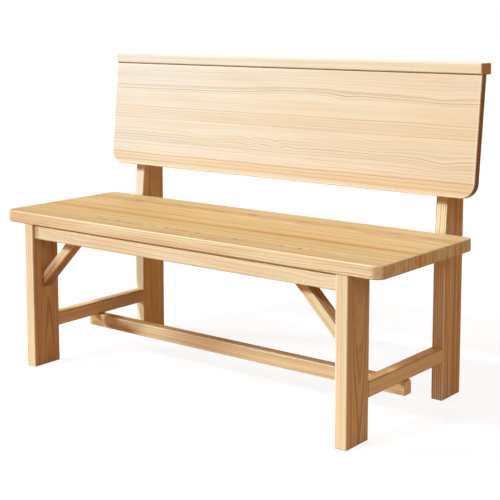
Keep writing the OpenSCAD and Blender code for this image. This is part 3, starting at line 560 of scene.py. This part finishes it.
def fasteners(node, finish, outline, sites, sizes, recess=None):
    """Sets one turned fastener at every site of a CAD node. The sizes are inputs of its tree:
    Turn is its angle about X, and the lengths of thread and recess are in metres. The recess
    is a cross or a hex."""
    tree = bpy.data.node_groups.new(node + "_tree", "GeometryNodeTree")
    names = {"Sites": "Geometry", "Blank": "Object", "Finish": "Material",
             **{size: "Float" for size in sizes}}
    keys = {name: tree.interface.new_socket(name, in_out="INPUT", socket_type="NodeSocket" + kind)
            for name, kind in names.items()}
    tree.interface.new_socket("Fasteners", in_out="OUTPUT", socket_type="NodeSocketGeometry")
    start = Wire(tree)
    inputs = start.add("NodeGroupInput", {}, {})
    given = {name: inputs.sibling(name) for name in names}

    # The blank loses its recess, and its sharp turns stay sharp
    body = start.add("GeometryNodeObjectInfo", {"transform_space": "ORIGINAL"}, {
        "Object": given["Blank"]}, "Geometry")
    if recess:
        reach, tall = given["Recess Reach"], given["Recess Height"]
        if recess == "cross":
            width = given["Recess Width"]
            cuts = [start.add("GeometryNodeMeshCube", {}, {"Size": start.joined(*arm, tall)})
                    for arm in ((width, reach), (reach, width))]
        else:
            cuts = [start.add("GeometryNodeMeshCylinder", {}, {
                "Vertices": 6, "Radius": reach, "Depth": tall})]
        middle = start.joined(0.0, 0.0, given["Recess Middle"])
        cuts = [start.add("GeometryNodeTransform", {}, {"Geometry": cut, "Translation": middle})
                for cut in cuts]
        body = start.add("GeometryNodeMeshBoolean", {"operation": "DIFFERENCE"}, {
            "Mesh 1": body, "Mesh 2": cuts})
    body = start.add("GeometryNodeSetShadeSmooth", {"domain": "FACE"}, {
        "Geometry": body, "Shade Smooth": True})
    angle = start.add("GeometryNodeInputMeshEdgeAngle", {}, {})
    body = start.add("GeometryNodeSetShadeSmooth", {"domain": "EDGE"}, {
        "Geometry": body, "Selection": start.math("GREATER_THAN", angle, SHARP_ANGLE),
        "Shade Smooth": False})

    # The thread winds round the blank and runs out at both ends
    if "Thread Start" in sizes:
        coil = start.add("GeometryNodeCurveSpiral", {}, {
            "Resolution": COIL_STEPS, "Rotations": given["Thread Turns"],
            "Height": given["Thread Length"], "Start Radius": given["Thread Radius"],
            "End Radius": given["Thread Radius"]})
        coil = start.add("GeometryNodeSetCurveNormal", {"mode": "Z_UP"}, {"Curve": coil})
        gone = start.add("GeometryNodeSplineParameter", {}, {}, "Factor")
        swell = gone.least(1 - gone) * RUN_OUT + THREAD_TIP
        coil = start.add("GeometryNodeSetCurveRadius", {}, {
            "Curve": coil, "Radius": swell.least(1.0)})
        profile = start.add("GeometryNodeCurvePrimitiveCircle", {"mode": "RADIUS"}, {
            "Resolution": 3, "Radius": given["Thread Crest"]})
        profile = start.add("GeometryNodeTransform", {}, {
            "Geometry": profile, "Rotation": (0.0, 0.0, math.pi)})
        ridge = start.add("GeometryNodeCurveToMesh", {}, {
            "Curve": coil, "Profile Curve": profile, "Fill Caps": True})
        ridge = start.add("GeometryNodeTransform", {}, {
            "Geometry": ridge, "Translation": start.joined(0.0, 0.0, given["Thread Start"])})
        body = start.add("GeometryNodeJoinGeometry", {}, {"Geometry": [body, ridge]})

    # One at every site, each driven home at its own angle
    placed = start.add("GeometryNodeInstanceOnPoints", {}, {
        "Points": given["Sites"], "Instance": body,
        "Rotation": start.joined(given["Turn"], 0.0, 0.0)})
    driven = start.add("FunctionNodeRandomValue", {"data_type": "FLOAT"}, {
        2: 0.0, 3: math.tau, "Seed": DRIVE_SEED}, 1)
    placed = start.add("GeometryNodeRotateInstances", {}, {
        "Instances": placed, "Rotation": start.joined(0.0, 0.0, driven), "Local Space": True})
    real = start.add("GeometryNodeRealizeInstances", {}, {"Geometry": placed})
    done = start.add("GeometryNodeSetMaterial", {}, {
        "Geometry": real, "Material": given["Finish"]})
    start.add("NodeGroupOutput", {}, {"Fasteners": done})

    mesh = bpy.data.meshes.new(node + "_sites")
    mesh.from_pydata(sites, [], [])
    holder = bpy.data.objects.new(node + "_holder", mesh)
    bpy.context.scene.collection.objects.link(holder)
    blank = lathe(node + "_blank", outline)
    modifier = holder.modifiers.new("set", "NODES")
    modifier.node_group = tree
    for name, value in {"Blank": blank, "Finish": finish, **sizes}.items():
        modifier[keys[name].identifier] = value
    bpy.context.view_layer.update()
    graph = bpy.context.evaluated_depsgraph_get()
    mesh = bpy.data.meshes.new_from_object(holder.evaluated_get(graph))
    mesh.name = node + "_turned"
    mesh.materials.clear()
    mesh.materials.append(finish)
    mesh.polygons.foreach_set("material_index", [0] * len(mesh.polygons))
    made = bpy.data.objects.new(node + "_turned", mesh)
    bpy.context.scene.collection.objects.link(made)
    for spent in (holder, blank):
        bpy.data.objects.remove(spent)
    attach(made, "root")
    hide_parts(node)


STEEL = metal("plated_steel", (0.60, 0.60, 0.61), 0.32)
ZINC = metal("plated_zinc", (0.70, 0.64, 0.46), 0.38)
PAN_HEAD = [(0, -0.003), (0.0028, -0.003), (0.0039, -0.00265), (0.0044, -0.0019),
            (0.0045, -0.0010), (0.0045, 0), (0.0025, 0), (0.0025, 0.0165), (0.0018, 0.0175),
            (0.0018, 0.038), (0.0007, 0.0437), (0, 0.045)]
PAN_SIZES = {"Turn": 0.0, "Thread Start": 0.0165, "Thread Length": 0.0250, "Thread Turns": 11.0,
             "Thread Radius": 0.0019, "Thread Crest": 0.0006, "Recess Width": 0.0011,
             "Recess Reach": 0.0045, "Recess Height": 0.004, "Recess Middle": -0.0036}
SEAT_SCREW_Z, SEAT_SCREW_X = 0.368, (-0.25, 0, 0.25)
RAIL_SCREW_Y, RAIL_SCREW_Z = -0.012, 0.073
under_seat = [(x, y, SEAT_SCREW_Z) for x in SEAT_SCREW_X for y in (FRONT_APRON_Y, REAR_APRON_Y)]
under_seat += [(side * SIDE_APRON_X, y, SEAT_SCREW_Z) for side in (-1, 1) for y in STAVE_Y[1:4]]
fasteners("seat_screws", STEEL, PAN_HEAD, under_seat, PAN_SIZES, "cross")
under_rails = [(side * SIDE_RAIL_X, RAIL_SCREW_Y, RAIL_SCREW_Z) for side in (-1, 1)]
fasteners("stretcher_screws", STEEL, PAN_HEAD, under_rails, PAN_SIZES, "cross")

COUNTERSUNK = [(0, 0), (0.0039, 0), (0.0040, 0.0001), (0.0021, 0.002), (0.0020, 0.0022),
               (0.0020, 0.020), (0.0014, 0.021), (0.0014, 0.043), (0.0006, 0.0472), (0, 0.048)]
BRACE_SCREW_Y, BRACE_SCREW_XZ = -0.195, ((0.3575, 0.3649), (0.3433, 0.3791))
behind_braces = [(side * x, BRACE_SCREW_Y, z) for side in (-1, 1) for x, z in BRACE_SCREW_XZ]
fasteners("brace_screws", STEEL, COUNTERSUNK, behind_braces,
          {"Turn": math.radians(90), "Thread Start": 0.0200, "Thread Length": 0.0245,
           "Thread Turns": 13.0, "Thread Radius": 0.0015, "Thread Crest": 0.0005,
           "Recess Width": 0.0010, "Recess Reach": 0.0040, "Recess Height": 0.003,
           "Recess Middle": 0.0}, "cross")

BOLT = [(0, -0.006), (0.0044, -0.006), (0.0050, -0.0054), (0.0050, 0), (0.0030, 0),
        (0.0030, 0.0330), (0.0026, 0.0334), (0.0026, 0.0508), (0.0022, 0.0515), (0, 0.0515)]
WASHER = [(0.0058, 0), (0.0060, 0.0002), (0.0060, 0.0013), (0.0058, 0.0015), (0.0032, 0.0015),
          (0.0031, 0.0014), (0.0031, 0.0001), (0.0032, 0)]
INSERT = [(0.0038, 0), (0.0042, 0.0006), (0.0042, 0.0140), (0.0036, 0.0150), (0.0033, 0.0150),
          (0.0031, 0.0147), (0.0031, 0.0004), (0.0034, 0)]
LEVEL = {"Turn": math.pi / 2 - TILT}
BOLT_BEHIND = 0.0365
BOLT_UP = (STAVE_UP[0], *STAVE_UP[2:])
bolts, nuts = ([on_slope(side * LEG_X, up, behind) for side in (-1, 1) for up in BOLT_UP]
               for behind in (BOLT_BEHIND, 0.0))
fasteners("back_bolts", STEEL, BOLT, bolts,
          {**LEVEL, "Thread Start": 0.0332, "Thread Length": 0.0170, "Thread Turns": 17.0,
           "Thread Radius": 0.0027, "Thread Crest": 0.0004, "Recess Reach": 0.0029,
           "Recess Height": 0.004, "Recess Middle": -0.005}, "hex")
fasteners("back_washers", STEEL, WASHER, bolts, LEVEL)
fasteners("insert_nuts", ZINC, INSERT, nuts,
          {**LEVEL, "Thread Start": 0.0012, "Thread Length": 0.0126, "Thread Turns": 4.5,
           "Thread Radius": 0.0043, "Thread Crest": 0.0007})

# Dowels: short beech pegs glued into blind holes, under the cap rail, between the braces and
# the legs and between the stretchers.
PEG = {"half": (600, 600, 600), "ring": 2.0, "wander": 2.0, "early": (0.76, 0.55, 0.36),
       "late": (0.62, 0.40, 0.24)}
pine("cap_dowels", (0, 0.2, 0.81), (0, 0, 1), (1, 0, 0), pith=(300, 90), seed=51.0, **PEG)
pine("brace_dowels", (0, -0.21, 0.24), (1, 0, 0), (0, 1, 0), pith=(90, 40), seed=52.0, **PEG)
pine("stretcher_dowels", (0, 0, 0.1), (0, 0, 1), (1, 0, 0), pith=(300, 90), seed=53.0, **PEG)

# Floor: a plain pale plane that the bench stands on. It fades into the white background, keeps
# a soft shadow, and throws warm light back up, more of it near the bench.
FLOOR_R = 40.0
GLOW, FLOOR_GREY = 0.88, 0.18
WARM_RIM, WARM_CORE = 2.4, 0.7
FAR_TONE, NEAR_TONE = (0.10, 0.055, 0.03), (0.535, 0.296, 0.152)


def seen(start):
    """1 on what the camera sees, also in a mirror or through glass, and 0 for other light."""
    path = start.add("LightPath", {}, {})
    rays = [path.sibling(f"Is {kind} Ray") for kind in ("Camera", "Glossy", "Transmission")]
    return (rays[0] + rays[1] + rays[2]).least(1.0)


floor_mesh = bpy.data.meshes.new("floor")
floor_mesh.from_pydata([(-FLOOR_R, -FLOOR_R, 0), (FLOOR_R, -FLOOR_R, 0), (FLOOR_R, FLOOR_R, 0),
                        (-FLOOR_R, FLOOR_R, 0)], [], [(0, 1, 2, 3)])
floor = bpy.data.objects.new("floor", floor_mesh)
bpy.context.scene.collection.objects.link(floor)
made, start = material("floor")
floor_mesh.materials.append(made)
white = start.add("Emission", {}, {"Color": (1, 1, 1, 1), "Strength": GLOW})
pale = start.add("BsdfDiffuse", {}, {"Color": (FLOOR_GREY, FLOOR_GREY, FLOOR_GREY, 1)})
bright = start.add("AddShader", {}, {0: white, 1: pale})
near = start.add("TexCoord", {}, {}, "Object").length().step(WARM_RIM, WARM_CORE)
dull = start.add("BsdfDiffuse", {}, {"Color": near.between(FAR_TONE, NEAR_TONE)})
both = start.add("MixShader", {}, {0: seen(start), 1: dull, 2: bright})
start.add("OutputMaterial", {}, {"Surface": both})

# Light: white light comes from the left and the front, with a little from the right and from
# behind, and the room gives back a warm, weak light.
DAY = (0.83, 0.945, 1.0)
ROOM, ROOM_STRENGTH = (1.0, 0.53, 0.29, 1), 0.28


def lamp(name, azimuth, elevation, strength, spread, tint=(1, 1, 1)):
    """A soft far lamp. Azimuth 0 stands in front of the bench and 90 to its left."""
    data = bpy.data.lights.new(name, "SUN")
    data.energy, data.angle, data.color = strength * math.pi, math.radians(spread), tint
    made = bpy.data.objects.new(name, data)
    a, e = math.radians(azimuth), math.radians(elevation)
    towards = Vector((-math.sin(a) * math.cos(e), -math.cos(a) * math.cos(e), math.sin(e)))
    made.rotation_mode = "QUATERNION"
    made.rotation_quaternion = towards.to_track_quat("Z", "Y")
    bpy.context.scene.collection.objects.link(made)
    return made


lamp("key", azimuth=65, elevation=21.5, strength=0.85, spread=9, tint=DAY)
lamp("front", azimuth=20, elevation=46, strength=0.62, spread=5, tint=DAY)
lamp("fill", azimuth=-55, elevation=30, strength=0.10, spread=20, tint=(1.0, 0.84, 0.72))
lamp("rear", azimuth=150, elevation=12, strength=0.30, spread=20).visible_glossy = False

world = bpy.data.worlds.new("room")
bpy.context.scene.world = world
world.use_nodes = True
world.node_tree.nodes.clear()
start = Wire(world.node_tree)
room = start.add("Background", {}, {"Color": ROOM, "Strength": ROOM_STRENGTH})
white = start.add("Background", {}, {"Color": (1, 1, 1, 1), "Strength": 1.0})
both = start.add("MixShader", {}, {0: seen(start), 1: room, 2: white})
start.add("OutputWorld", {}, {"Surface": both})

# Camera: it stands where the photograph was taken from, to the right and a little above, with a
# long lens whose picture is shifted down.
TURN, DROP = math.radians(-38.137), math.radians(7.023)
LENS, SHIFT_DOWN = 84.28, -0.18
camera_data = bpy.data.cameras.new("camera")
camera = bpy.data.objects.new("camera", camera_data)
bpy.context.scene.collection.objects.link(camera)
camera_data.lens, camera_data.sensor_width, camera_data.shift_y = LENS, 36.0, SHIFT_DOWN
camera_data.clip_start, camera_data.clip_end = 0.05, 200.0
camera.location = (1.8768, -2.3282, 0.9472)
camera.rotation_mode = "QUATERNION"
look = Vector((math.sin(TURN) * math.cos(DROP), math.cos(TURN) * math.cos(DROP), -math.sin(DROP)))
camera.rotation_quaternion = look.to_track_quat("-Z", "Y")
bpy.context.scene.camera = camera
bpy.context.scene.view_settings.view_transform = "Standard"
